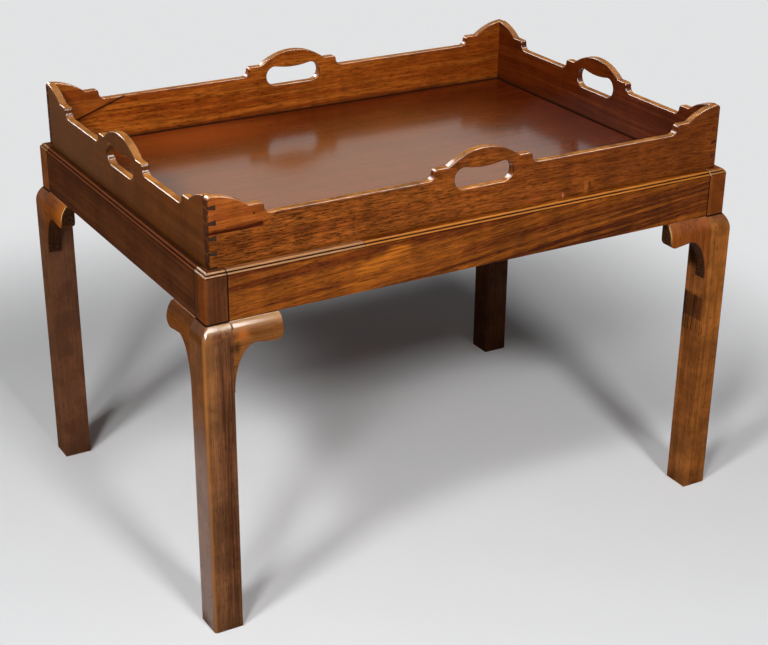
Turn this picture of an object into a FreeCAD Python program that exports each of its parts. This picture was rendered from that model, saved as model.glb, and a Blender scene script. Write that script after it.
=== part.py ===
import FreeCAD, Part
import math
import os

Vector = FreeCAD.Vector

# Mahogany tray top tea table: a dovetailed tray with a scalloped gallery and four hand-holds,
# dropped into the moulded lip of a four-legged stand with knee brackets.
# Millimetres. Origin on the floor at the middle of the footprint, +Z up,
# +X along the long side, -Y towards the front long side.

# ---- Stand: overall ----
frame_length = 711.0        # over the outer faces of the short rails
frame_width = 504.0         # over the outer faces of the long rails
lip_height = 444.5          # floor to the top of the lip that surrounds the tray
rail_height = 58.5          # underside of a rail to the top of the lip
rail_thickness = 22.0
lip_width = 10.2            # thickness of the lip outside the tray
seat_depth = 12.0           # how far the tray drops below the top of the lip
rail_arris = 1.2            # softened lower outer edge of a rail

# ---- Stand: double bead on the lip ----
bead = 2.75                 # radius of each quarter-round step

# ---- Stand: repair let into the front moulding ----
repair_length = 168.0       # from the left corner post to the butt joint

# ---- Stand: legs ----
leg_size = 35.5             # square section below the rails
leg_projection = 8.8        # how far a leg stands out beyond the rail faces
shoulder_drop = 21.0        # height of the curve that rolls the leg back to the post
leg_arris = 4.0             # radius of the outer corner of the leg
post_arris = 2.4            # radius of the outer corner of the post
foot_arris = 1.5            # eased edge round the foot

# ---- Stand: mortise and tenon ----
tenon_thickness = 8.0
tenon_inset = 7.0           # from the rail's outer face to the tenon
tenon_shoulder = 6.0        # above and below the tenon
tenon_web = 0.7             # wood left between the two mortises of a post

# ---- Stand: knee brackets ----
bracket_thickness = 18.0
bracket_length = 61.5
bracket_top_radius = 4.5    # rounded upper corner at the free end
lobe_depth = 30.5           # lowest point of the lobe below the rail
lobe_radius = 10.0
neck_distance = 28.0        # from the leg to where the cove meets the lobe
neck_depth = 27.3
cove_height = 54.0          # rise of the cove up the leg
bracket_toe = 1.2           # thickness of the bracket's lower tip
bracket_arris = 1.3

# ---- Stand: corner blocks ----
block_size = 55.0           # along each rail
block_height = 34.0
block_drop = 6.0            # from the tray's seat to the top of a block
block_screw_offset = 30.0   # from the rails' inner corner to a screw
block_screw_radius = 2.0
block_screw_head_radius = 3.6
block_screw_head_height = 2.6
block_screw_grip = 12.0     # wood of the block under the screw's head
block_screw_bite = 12.0     # length of the screw in the rail
block_bore_clearance = 0.5  # round the head of a screw
shank_clearance = 0.06      # round the shank of every screw

# ---- Tray: boards ----
tray_clearance = 0.8        # gap between the tray and the lip, all round
board_thickness = 10.0
low_height = 63.5           # underside of the tray to the low edge of the gallery
shoulder_height = 76.0      # underside of the tray to the flat shoulders
crown_height = 92.5         # underside of the tray to the crown of an arch
arch_half_width = 48.0      # middle of an arch to where it would meet the shoulder's level
spring_radius = 2.0         # hollow where an arch springs from its shoulder
shoulder_width = 14.0
shoulder_radius = 4.5       # round end of a shoulder, above the cove down to the low edge
ear_corner_radius = 5.0     # worn upper corner of the tray
board_arris = 1.7           # softened upper edges of the gallery
corner_arris = 2.2          # softened vertical corners of the tray

# ---- Tray: hand-holds ----
hold_half_width = 39.6
hold_height = 25.4
hold_bottom = 47.0          # underside of the tray to the bottom of a hand-hold
hold_sag = 3.0              # downward bulge of the upper edge for the fingers
hold_arris = 1.7

# ---- Tray: dovetails ----
pin_count = 5
pin_pitch = 17.1
first_pin = 11.6            # underside of the tray to the middle of the first pin
pin_narrow = 3.0            # width of a pin at the corner
pin_wide = 6.2              # width of a pin at its root

# ---- Tray: repaired ears ----
front_patch_height = 50.0   # underside of the tray to the level glue line
front_patch_toe = 14.0      # length of the rising end of that glue line
back_patch_height = 28.5    # glue line above the underside at the tray's corner
back_patch_reach = 27.0     # length of the glue line past the ear, along the low edge

# ---- Tray: floor ----
floor_thickness = 8.0
rebate_depth = 6.0          # how far the floor is let into the boards
floor_clearance = 0.4       # room for the floor to move in its rebate
floor_screw_radius = 1.2
floor_screw_head_radius = 2.6
floor_screw_head_height = 1.6
floor_screw_length = 20.0
floor_screw_inset = 3.0     # from the floor's edge
long_side_screws = 5
short_side_screws = 3
slot_width = 0.7
slot_depth = 0.6

# ---- Worked-out sizes ----
half_length = frame_length / 2
half_width = frame_width / 2
rail_bottom = lip_height - rail_height
seat_height = lip_height - seat_depth
moulding_bottom = lip_height - 2 * bead
post_size = leg_size - leg_projection
tenon_length = post_size - tenon_inset - tenon_thickness - tenon_web
tray_half_length = half_length - lip_width - tray_clearance
tray_half_width = half_width - lip_width - tray_clearance
inner_half_length = tray_half_length - board_thickness
inner_half_width = tray_half_width - board_thickness
floor_half_length = inner_half_length + rebate_depth - floor_clearance
floor_half_width = inner_half_width + rebate_depth - floor_clearance
cove_radius = shoulder_height - low_height - shoulder_radius
gallery_step = arch_half_width + shoulder_width + shoulder_radius + cove_radius
arch_rise = crown_height - shoulder_height
arch_radius = (arch_half_width ** 2 + arch_rise ** 2) / (2 * arch_rise)
arch_centre = crown_height - arch_radius

over = 1.0                  # how far a cutting tool passes a face
slack = 0.01                # allowance when edges are picked by where they lie
same = 1e-4                 # two lengths that differ by less are taken as equal

UP = Vector(0, 0, 1)
SIDE_ANGLES = {"front": 0, "right": 90, "back": 180, "left": -90}
SIDE_OFFSETS = {"front": (0, -1), "right": (1, 0), "back": (0, 1), "left": (-1, 0)}
CORNERS = {
    "front_left": (0, -1, -1),
    "front_right": (90, 1, -1),
    "back_right": (180, 1, 1),
    "back_left": (-90, -1, 1),
}


# ---- Small helpers ----
def box(x0, x1, y0, y1, z0, z1):
    """A box between two opposite corners."""
    return Part.makeBox(x1 - x0, y1 - y0, z1 - z0, Vector(x0, y0, z0))


def line(a, b):
    return Part.LineSegment(Vector(*a), Vector(*b)).toShape()


def arc(centre, radius, start, end):
    """A circular arc in the XZ plane; start and end are angles in degrees from +X towards +Z."""
    points = []
    for angle in (start, (start + end) / 2, end):
        turn = math.radians(angle)
        points.append(Vector(centre[0] + radius * math.cos(turn), 0, centre[1] + radius * math.sin(turn)))
    return Part.Arc(*points).toShape()


def upright_quarter(centre, half_width, half_height):
    """The upper left quarter of an ellipse in the XZ plane that is taller than it is wide."""
    edge = Part.Ellipse(Vector(0, 0, 0), half_height, half_width).toShape(0, math.pi / 2)
    edge.rotate(Vector(0, 0, 0), UP, 90)
    edge.rotate(Vector(0, 0, 0), Vector(1, 0, 0), 90)
    edge.translate(Vector(centre[0], 0, centre[1]))
    return edge


def mirrored(shape):
    """The mirror image across the plane x = 0."""
    return shape.mirror(Vector(0, 0, 0), Vector(1, 0, 0))


def swapped(shape):
    """The mirror image that swaps X and Y."""
    return shape.mirror(Vector(0, 0, 0), Vector(1, -1, 0))


def slab(edges, y0, y1):
    """Extrudes a closed outline that lies in the XZ plane from y0 to y1."""
    wire = Part.Wire(Part.__sortEdges__(edges))
    solid = Part.Face(wire).extrude(Vector(0, y1 - y0, 0))
    solid.translate(Vector(0, y0, 0))
    return solid


def outline(points):
    """Straight edges through the points, closed; each point is (x, z)."""
    ring = [(x, 0, z) for x, z in points]
    return [line(a, b) for a, b in zip(ring, ring[1:] + ring[:1])]


def joined(first, others):
    return first.fuse(others).removeSplitter()


def solid_of(shape):
    """The single solid that a boolean result holds."""
    solids = shape.Solids
    assert len(solids) == 1, "expected one solid, found %d" % len(solids)
    return solids[0]


def edges_where(shape, test):
    """The edges all of whose sampled points pass the test."""
    found = []
    for edge in shape.Edges:
        points = edge.discretize(5)
        if all(test(p) for p in points):
            found.append(edge)
    return found


def near(a, b):
    return abs(a - b) < same


def on_side(shape, side, across_length, across_width):
    """Turns a shape made for the front side to another side; y = 0 was that side's outer face."""
    placed = shape.copy()
    placed.rotate(Vector(0, 0, 0), UP, SIDE_ANGLES[side])
    dx, dy = SIDE_OFFSETS[side]
    placed.translate(Vector(dx * across_length, dy * across_width, 0))
    return placed


def on_corner(shape, corner):
    """Turns a shape made for the front left corner, where it grows to +X and +Y, to another corner."""
    angle, sx, sy = CORNERS[corner]
    placed = shape.copy()
    placed.rotate(Vector(0, 0, 0), UP, angle)
    placed.translate(Vector(sx * half_length, sy * half_width, 0))
    return placed


# ---- Profiles shared by the stand ----
def shoulder_arc(outer, inner, top):
    """The roll from the leg's face at outer back to the post's face at inner, tangent to the leg."""
    run = inner - outer
    radius = (run ** 2 + shoulder_drop ** 2) / (2 * run)
    sweep = math.degrees(math.asin(shoulder_drop / radius))
    return arc((outer + radius, top - shoulder_drop), radius, 180, 180 - sweep)


def double_bead(outer):
    """The stepped quarter-rounds from the rail's face at outer up and in to the flat of the lip."""
    first = arc((outer + bead, moulding_bottom), bead, 180, 90)
    second = arc((outer + 2 * bead, moulding_bottom + bead), bead, 180, 90)
    return [first, second]


# ---- Legs ----
def lower_leg():
    """The square leg, its two outer faces rolled back to the post; it grows to +X and +Y."""
    outer, inner = -leg_projection, leg_size - leg_projection
    edges = [
        shoulder_arc(outer, 0, rail_bottom),
        line((0, 0, rail_bottom), (inner, 0, rail_bottom)),
        line((inner, 0, rail_bottom), (inner, 0, 0)),
        line((inner, 0, 0), (outer, 0, 0)),
        line((outer, 0, 0), (outer, 0, rail_bottom - shoulder_drop)),
    ]
    along_y = slab(edges, outer - over, inner + over)
    leg = solid_of(along_y.common(swapped(along_y)))
    corner = edges_where(leg, lambda p: near(p.x, p.y) and p.x < over)
    leg = solid_of(leg.makeFillet(leg_arris, corner))
    foot = edges_where(leg, lambda p: near(p.z, 0))
    return solid_of(leg.makeFillet(foot_arris, foot))


def post():
    """The upper part of the leg, flush with the rails, with the lip round the tray's corner."""
    edges = [
        line((0, 0, rail_bottom - over), (0, 0, moulding_bottom)),
        *double_bead(0),
        line((2 * bead, 0, lip_height), (post_size, 0, lip_height)),
        line((post_size, 0, lip_height), (post_size, 0, rail_bottom - over)),
        line((post_size, 0, rail_bottom - over), (0, 0, rail_bottom - over)),
    ]
    along_y = slab(edges, -over, post_size)
    solid = solid_of(along_y.common(swapped(along_y)))
    corner = edges_where(
        solid, lambda p: near(p.x, 0) and near(p.y, 0) and p.z < moulding_bottom + over
    )
    solid = solid_of(solid.makeFillet(post_arris, corner))
    seat = box(lip_width, post_size + over, lip_width, post_size + over,
               seat_height, lip_height + over)
    return solid.cut(seat)


def tenon_span():
    """Lowest and highest level of a tenon."""
    return rail_bottom + tenon_shoulder, seat_height - tenon_shoulder


def mortises():
    low, high = tenon_span()
    near_face, far_face = tenon_inset, tenon_inset + tenon_thickness
    start = post_size - tenon_length
    along_x = box(start, post_size + over, near_face, far_face, low, high)
    along_y = box(near_face, far_face, start, post_size + over, low, high)
    return [along_x, along_y]


def leg():
    shape = joined(lower_leg(), [post()])
    return solid_of(shape.cut(mortises()))


# ---- Rails ----
def rail_section():
    """Closed section in the XZ plane; x is the distance in from the outer face."""
    bottom = rail_bottom
    return [
        line((rail_arris, 0, bottom), (rail_thickness, 0, bottom)),
        line((rail_thickness, 0, bottom), (rail_thickness, 0, seat_height)),
        line((rail_thickness, 0, seat_height), (lip_width, 0, seat_height)),
        line((lip_width, 0, seat_height), (lip_width, 0, lip_height)),
        line((lip_width, 0, lip_height), (2 * bead, 0, lip_height)),
        *double_bead(0),
        line((0, 0, moulding_bottom), (0, 0, bottom + rail_arris)),
        arc((rail_arris, bottom + rail_arris), rail_arris, 180, 270),
    ]


def rail(half_run):
    """A rail along X with its outer face at y = 0, between posts at plus and minus half_run."""
    span = half_run - post_size
    body = slab(rail_section(), -span, span)
    # the section's x, distance in from the face, becomes y, and its run along y becomes x
    body = swapped(body)
    low, high = tenon_span()
    reach = span + tenon_length
    tenons = box(-reach, reach, tenon_inset, tenon_inset + tenon_thickness, low, high)
    return solid_of(joined(body, [tenons]))


def repair_space():
    """The part of the front rail's lip that the let-in length of moulding takes."""
    start = -(half_length - post_size)
    return box(start, start + repair_length, -over, lip_width, moulding_bottom, lip_height + over)


# ---- Knee brackets ----
def bracket_outline():
    """Front outline; x is the distance from the leg."""
    top, end = rail_bottom, bracket_length
    toe = top - neck_depth - cove_height
    lobe = top - lobe_depth
    return [
        line((0, 0, top), (end - bracket_top_radius, 0, top)),
        arc((end - bracket_top_radius, top - bracket_top_radius), bracket_top_radius, 90, 0),
        line((end, 0, top - bracket_top_radius), (end, 0, lobe + lobe_radius)),
        arc((end - lobe_radius, lobe + lobe_radius), lobe_radius, 0, -90),
        line((end - lobe_radius, 0, lobe), (neck_distance, 0, top - neck_depth)),
        upright_quarter((neck_distance, toe), neck_distance - bracket_toe, cove_height),
        line((bracket_toe, 0, toe), (0, 0, toe)),
        line((0, 0, toe), (0, 0, top)),
    ]


def bracket_section():
    """Section across the bracket; x is the distance in from the rail's face."""
    outer, inner = -leg_projection, bracket_thickness - leg_projection
    low = rail_bottom - neck_depth - cove_height - over
    return [
        shoulder_arc(outer, 0, rail_bottom),
        line((0, 0, rail_bottom), (inner, 0, rail_bottom)),
        line((inner, 0, rail_bottom), (inner, 0, low)),
        line((inner, 0, low), (outer, 0, low)),
        line((outer, 0, low), (outer, 0, rail_bottom - shoulder_drop)),
    ]


def bracket():
    """One bracket along +X from the leg's face at x = 0, its rail face at y = 0."""
    front = slab(bracket_outline(), -leg_projection, bracket_thickness - leg_projection)
    across = slab(bracket_section(), -over, bracket_length + over)
    shape = solid_of(front.common(swapped(across)))
    roll_start = rail_bottom - shoulder_drop

    def on_outline(p):
        return near(p.y, -leg_projection) and p.x > bracket_toe - slack and p.z < roll_start + slack

    # the level edge where the roll begins is smooth and stays
    arris = [e for e in edges_where(shape, on_outline) if e.BoundBox.ZLength > slack]
    return solid_of(shape.makeFillet(bracket_arris, arris))


# ---- Corner blocks ----
def block_levels():
    top = seat_height - block_drop
    return top - block_height, top


def block_screw_sites():
    """Distance of the screw from the outer face, and its level, for each of the two rails."""
    low, high = block_levels()
    return rail_thickness + block_screw_offset, (low + high) / 2


def block_screw(clearance, bore):
    """A screw through the block into the rail along -Y; bore lengthens the head into a counterbore."""
    along, level = block_screw_sites()
    head_seat = rail_thickness + block_screw_grip
    shank_end = rail_thickness - block_screw_bite
    down = Vector(0, -1, 0)
    head_radius = block_screw_head_radius + (block_bore_clearance if bore else 0)
    head_length = block_size if bore else block_screw_head_height
    head = Part.makeCylinder(head_radius, head_length, Vector(along, head_seat + head_length, level), down)
    shank = Part.makeCylinder(block_screw_radius + clearance, head_seat - shank_end,
                              Vector(along, head_seat, level), down)
    return solid_of(joined(head, [shank]))


def both_ways(shape):
    """The shape, and its mirror image across the corner's diagonal."""
    return [shape, swapped(shape)]


def screw_slot_cut(shape):
    """Cuts the driver's slot across the head of the block screw."""
    along, level = block_screw_sites()
    face = rail_thickness + block_screw_grip + block_screw_head_height
    width = block_screw_head_radius + over
    slot = box(along - width, along + width, face - slot_depth, face + over,
               level - slot_width / 2, level + slot_width / 2)
    return solid_of(shape.cut(slot))


def corner_block():
    low, high = block_levels()
    inner = rail_thickness
    corners = [(inner, inner), (inner + block_size, inner), (inner, inner + block_size)]
    ring = [Vector(x, y, low) for x, y in corners]
    face = Part.Face(Part.makePolygon(ring + ring[:1]))
    block = face.extrude(UP * (high - low))
    block = block.cut(box(0, post_size, 0, post_size, low - over, high + over))
    return solid_of(block.cut(both_ways(block_screw(shank_clearance, True))))


# ---- Tray boards ----
def arch_and_step(start):
    """Half an arch centred at x = 0, from the angle start down its right side to the low edge."""
    spring_z = shoulder_height + spring_radius
    reach = arch_radius + spring_radius
    lift = math.asin((spring_z - arch_centre) / reach)
    spring_x = reach * math.cos(lift)
    lift = math.degrees(lift)
    shoulder_end = arch_half_width + shoulder_width
    return [
        arc((0, arch_centre), arch_radius, start, lift),
        arc((spring_x, spring_z), spring_radius, 180 + lift, 270),
        line((spring_x, 0, shoulder_height), (shoulder_end, 0, shoulder_height)),
        arc((shoulder_end, shoulder_height - shoulder_radius), shoulder_radius, 90, 0),
        arc((gallery_step, low_height + cove_radius), cove_radius, 180, 270),
    ]


def gallery_half(half_run):
    """The upper outline from the middle of a board to its worn corner at half_run."""
    ear = ear_corner_radius
    lean = math.asin(ear / (arch_radius - ear))
    corner_z = arch_centre + (arch_radius - ear) * math.cos(lean)
    lean = math.degrees(lean)
    edges = arch_and_step(90)
    edges.append(line((gallery_step, 0, low_height), (half_run - gallery_step, 0, low_height)))
    for edge in arch_and_step(90 - lean):
        edge = mirrored(edge)
        edge.translate(Vector(half_run, 0, 0))
        edges.append(edge)
    edges.append(arc((half_run - ear, corner_z), ear, 90 + lean, 0))
    edges.append(line((half_run, 0, corner_z), (half_run, 0, 0)))
    return edges


def hand_hold():
    """The kidney-shaped opening, cut through a board whose outer face is at y = 0."""
    radius = hold_height / 2
    centre_x, centre_z = hold_half_width - radius, hold_bottom + radius
    # the sagging upper edge is an arc about a point above, tangent to both round ends
    reach = (centre_x ** 2 + hold_sag ** 2) / (2 * hold_sag)
    lean = math.degrees(math.asin(centre_x / reach))
    end = arc((centre_x, centre_z), radius, -90, 90 + lean)
    edges = [
        line((-centre_x, 0, hold_bottom), (centre_x, 0, hold_bottom)),
        end,
        mirrored(end),
        arc((0, centre_z + reach - hold_sag), reach - radius, 270 - lean, 270 + lean),
    ]
    return slab(edges, -over, board_thickness + over)


def board(half_run):
    """A side of the tray along X, its outer face at y = 0 and its underside at z = 0."""
    half = gallery_half(half_run)
    edges = half + [mirrored(e) for e in half]
    edges.append(line((-half_run, 0, 0), (half_run, 0, 0)))
    return slab(edges, 0, board_thickness)


def on_board_face(p):
    return near(p.y, 0) or near(p.y, board_thickness)


def softened_board(half_run):
    """A board with both rims of its hand-hold and both upper edges of its gallery rounded."""
    low, high = hold_bottom - slack, hold_bottom + hold_height + slack

    def on_rim(p):
        return on_board_face(p) and abs(p.x) < hold_half_width + slack and low < p.z < high

    def on_gallery(p):
        return on_board_face(p) and p.z > low_height - slack and not on_rim(p)

    shape = board(half_run).cut(hand_hold())
    shape = shape.makeFillet(hold_arris, edges_where(shape, on_rim))
    gallery = [e for e in edges_where(shape, on_gallery) if e.BoundBox.YLength < slack]
    return solid_of(shape.makeFillet(board_arris, gallery))


def pins(half_run):
    """The dovetail pins at both ends, in the thickness of a long board whose outer face is y = 0."""
    found = []
    for index in range(pin_count):
        middle = first_pin + index * pin_pitch
        root = half_run - board_thickness
        shape = slab(
            outline([
                (half_run, middle - pin_narrow / 2),
                (half_run, middle + pin_narrow / 2),
                (root, middle + pin_wide / 2),
                (root, middle - pin_wide / 2),
            ]),
            0, board_thickness,
        )
        found += [shape, mirrored(shape)]
    return found


def tray_envelope():
    """The tray's outer shape with softened vertical corners."""
    envelope = box(-tray_half_length, tray_half_length, -tray_half_width, tray_half_width,
                   0, crown_height + over)
    upright = edges_where(envelope, lambda p: near(abs(p.x), tray_half_length)
                          and near(abs(p.y), tray_half_width))
    return envelope.makeFillet(corner_arris, upright)


def floor_space():
    """The rebate that takes the floor, cut out of all four boards."""
    reach_x = inner_half_length + rebate_depth
    reach_y = inner_half_width + rebate_depth
    return box(-reach_x, reach_x, -reach_y, reach_y, -over, floor_thickness)


def front_patch_region():
    """The let-in wood of the front left ear, above a level glue line that rises at its end."""
    ear_end = -(tray_half_length - gallery_step)
    left = -tray_half_length - over
    top = crown_height + over
    points = [
        (left, front_patch_height),
        (ear_end - front_patch_toe / 2, front_patch_height),
        (ear_end + front_patch_toe / 2, low_height),
        (ear_end + front_patch_toe / 2, top),
        (left, top),
    ]
    region = slab(outline(points), -over, board_thickness + over)
    return on_side(region, "front", tray_half_length, tray_half_width)


def back_patch_region():
    """The let-in wood of the back left ear, above one slanting glue line."""
    ear_end = tray_half_length - gallery_step
    right = tray_half_length + over
    top = crown_height + over
    points = [
        (right, back_patch_height),
        (ear_end - back_patch_reach, low_height),
        (ear_end - back_patch_reach, top),
        (right, top),
    ]
    region = slab(outline(points), -over, board_thickness + over)
    return on_side(region, "back", tray_half_length, tray_half_width)


def floor_screw_sites():
    """Where the screws go up through the floor's edge into the boards."""
    x_edge = floor_half_length - floor_screw_inset
    y_edge = floor_half_width - floor_screw_inset
    sites = []
    for index in range(long_side_screws):
        x = (index + 0.5) / long_side_screws * 2 * inner_half_length - inner_half_length
        sites += [(x, -y_edge), (x, y_edge)]
    for index in range(short_side_screws):
        y = (index + 0.5) / short_side_screws * 2 * inner_half_width - inner_half_width
        sites += [(-x_edge, y), (x_edge, y)]
    return sites


def floor_screw(x, y, clearance):
    """A countersunk screw, its head flush with the underside of the floor."""
    head = Part.makeCone(floor_screw_head_radius + clearance, floor_screw_radius + clearance,
                         floor_screw_head_height, Vector(x, y, 0), UP)
    shank = Part.makeCylinder(floor_screw_radius + clearance, floor_screw_length + clearance,
                              Vector(x, y, 0), UP)
    screw = solid_of(joined(head, [shank]))
    if clearance:
        return screw
    reach = floor_screw_head_radius + over
    slot = box(x - reach, x + reach, y - slot_width / 2, y + slot_width / 2, -over, slot_depth)
    return solid_of(screw.cut(slot))


def long_side(side, long_board, envelope, screw_holes):
    """The front or back board, with the dovetail sockets and the rebate for the floor."""
    shape = on_side(long_board, side, tray_half_length, tray_half_width)
    return solid_of(shape.common(envelope).cut(floor_space()).cut(screw_holes))


def short_side(side, short_board, long_pins, envelope, screw_holes):
    """The left or right board, with its dovetail pins and the rebate for the floor."""
    shape = on_side(short_board, side, tray_half_length, tray_half_width)
    own_pins = []
    for end in ("front", "back"):
        for pin in long_pins:
            placed = on_side(pin, end, tray_half_length, tray_half_width)
            if (placed.CenterOfMass.x < 0) == (side == "left"):
                own_pins.append(placed)
    shape = shape.fuse(own_pins).common(envelope)
    return solid_of(shape.cut(floor_space()).cut(screw_holes).removeSplitter())


def tray_pieces():
    """Every piece of the tray, with its underside at z = 0."""
    envelope = tray_envelope()
    screw_holes = [floor_screw(x, y, shank_clearance) for x, y in floor_screw_sites()]
    long_pins = pins(tray_half_length)
    long_board = softened_board(tray_half_length).cut(long_pins)
    between = box(-inner_half_width, inner_half_width, -over, board_thickness + over,
                  -over, crown_height + over)
    short_board = softened_board(tray_half_width).common(between)
    pieces = {}
    for side in ("front", "back"):
        pieces["tray_side_" + side] = long_side(side, long_board, envelope, screw_holes)
    for side in ("left", "right"):
        pieces["tray_side_" + side] = short_side(side, short_board, long_pins, envelope, screw_holes)

    for side, region in (("front", front_patch_region()), ("back", back_patch_region())):
        whole = pieces["tray_side_" + side]
        pieces["ear_patch_" + side] = solid_of(whole.common(region))
        pieces["tray_side_" + side] = solid_of(whole.cut(region))

    floor = box(-floor_half_length, floor_half_length, -floor_half_width, floor_half_width,
                0, floor_thickness)
    pieces["tray_floor"] = solid_of(floor.cut(screw_holes))
    pieces["floor_screws"] = Part.makeCompound(
        [floor_screw(x, y, 0) for x, y in floor_screw_sites()]
    )
    for shape in pieces.values():
        shape.translate(UP * seat_height)
    return pieces


def stand_pieces():
    """Every piece of the stand, in place."""
    pieces = {}
    one_leg = leg()
    block = corner_block()
    screw_bores = both_ways(block_screw(shank_clearance, False))
    screws = both_ways(screw_slot_cut(block_screw(0, False)))
    placed_bores, placed_screws = [], []
    for corner in CORNERS:
        pieces["leg_" + corner] = on_corner(one_leg, corner)
        pieces["corner_block_" + corner] = on_corner(block, corner)
        placed_bores += [on_corner(bore, corner) for bore in screw_bores]
        placed_screws += [on_corner(screw, corner) for screw in screws]
    pieces["block_screws"] = Part.makeCompound(placed_screws)

    one_bracket = bracket()
    ends = {
        "front": ("left", "right"), "back": ("right", "left"),
        "left": ("back", "front"), "right": ("front", "back"),
    }
    for side, (low_end, high_end) in ends.items():
        half_run = half_length if side in ("front", "back") else half_width
        shape = on_side(rail(half_run), side, half_length, half_width)
        pieces["rail_" + side] = shape.cut(placed_bores)
        at_leg = one_bracket.copy()
        at_leg.translate(Vector(-(half_run - post_size), 0, 0))
        for end, piece in ((low_end, at_leg), (high_end, mirrored(at_leg))):
            pieces["bracket_%s_%s" % (side, end)] = on_side(piece, side, half_length, half_width)

    space = on_side(repair_space(), "front", half_length, half_width)
    whole = pieces["rail_front"]
    pieces["moulding_repair"] = solid_of(whole.common(space))
    pieces["rail_front"] = whole.cut(space)
    for side in ends:
        pieces["rail_" + side] = solid_of(pieces["rail_" + side])
    return pieces


def main():
    os.makedirs("parts", exist_ok=True)
    pieces = {**stand_pieces(), **tray_pieces()}
    for node, shape in sorted(pieces.items()):
        valid = shape.isValid() and all(s.Volume > 0 for s in shape.Solids)
        print("%-26s solids %2d  volume %10.1f  valid %s" % (node, len(shape.Solids), shape.Volume, valid))
        shape.exportStep("parts/%s.step" % node)


main()
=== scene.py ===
"""Looks of the tray top tea table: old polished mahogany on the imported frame."""

import math

import bpy
from mathutils import Matrix, Vector


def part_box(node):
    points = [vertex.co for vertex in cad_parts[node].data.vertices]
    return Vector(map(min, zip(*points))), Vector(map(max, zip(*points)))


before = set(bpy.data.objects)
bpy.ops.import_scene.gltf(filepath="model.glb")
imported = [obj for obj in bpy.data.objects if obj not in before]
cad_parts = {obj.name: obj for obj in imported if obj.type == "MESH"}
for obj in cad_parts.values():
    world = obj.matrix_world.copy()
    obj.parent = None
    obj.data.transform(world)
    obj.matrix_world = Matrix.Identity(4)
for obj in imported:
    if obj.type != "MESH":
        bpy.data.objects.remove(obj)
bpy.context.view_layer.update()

MM = 0.001

# The camera, solved for an image of 768 by 645.
IMAGE_WIDTH = 768
SENSOR_WIDTH = 36
LENS = 77.329
AZIMUTH = math.radians(-30.8102)
ELEVATION = math.radians(26.3805)
ROLL = math.radians(0.7103)
CAMERA_PLACE = (-0.99902, -1.72126, 1.11196)
SHIFT_X = -10 / IMAGE_WIDTH
SHIFT_Y = 60 / IMAGE_WIDTH


def low(node, axis):
    """Where a CAD node begins along an axis."""
    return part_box(node)[0]["xyz".index(axis)]


def high(node, axis):
    """Where a CAD node ends along an axis."""
    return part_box(node)[1]["xyz".index(axis)]


def mm(*lengths):
    """Lengths in millimetres, as metres."""
    return tuple(length * MM for length in lengths)


def on_face(x, face, z):
    """The place at x and z, in millimetres, on the face at Y = face, in metres."""
    return (x * MM, face, z * MM)


# Places on the table, in metres from the middle of its footprint. The shoulder is where the
# rolls of the legs and brackets meet the rails.
LEG_FACE_Y = high("leg_back_right", "y")
POST_JOINT_X, POST_JOINT_Y = low("leg_back_right", "x"), low("leg_back_right", "y")
RAIL_FACE_Y = high("rail_back", "y")
SHOULDER, LIP_TOP = low("rail_front", "z"), high("rail_front", "z")
MOULDING_BOTTOM = low("moulding_repair", "z")
BEAD = (LIP_TOP - MOULDING_BOTTOM) / 2
REPAIR_JOINT_X = high("moulding_repair", "x")
TRAY_FLOOR_TOP = high("tray_floor", "z")
TRAY_HALF_X, TRAY_HALF_Y = high("tray_side_right", "x"), high("tray_side_back", "y")
INNER_HALF_X, INNER_HALF_Y = low("tray_side_right", "x"), low("tray_side_back", "y")
# Height of the gallery between its ears and handles, in millimetres.
LOW_EDGE_MM = 496


def srgb(red, green, blue):
    """A colour written as 0 to 255, as the linear values that shaders take."""
    def linear(part):
        part /= 255
        return part / 12.92 if part <= 0.04045 else ((part + 0.055) / 1.055) ** 2.4
    return (linear(red), linear(green), linear(blue), 1.0)


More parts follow.
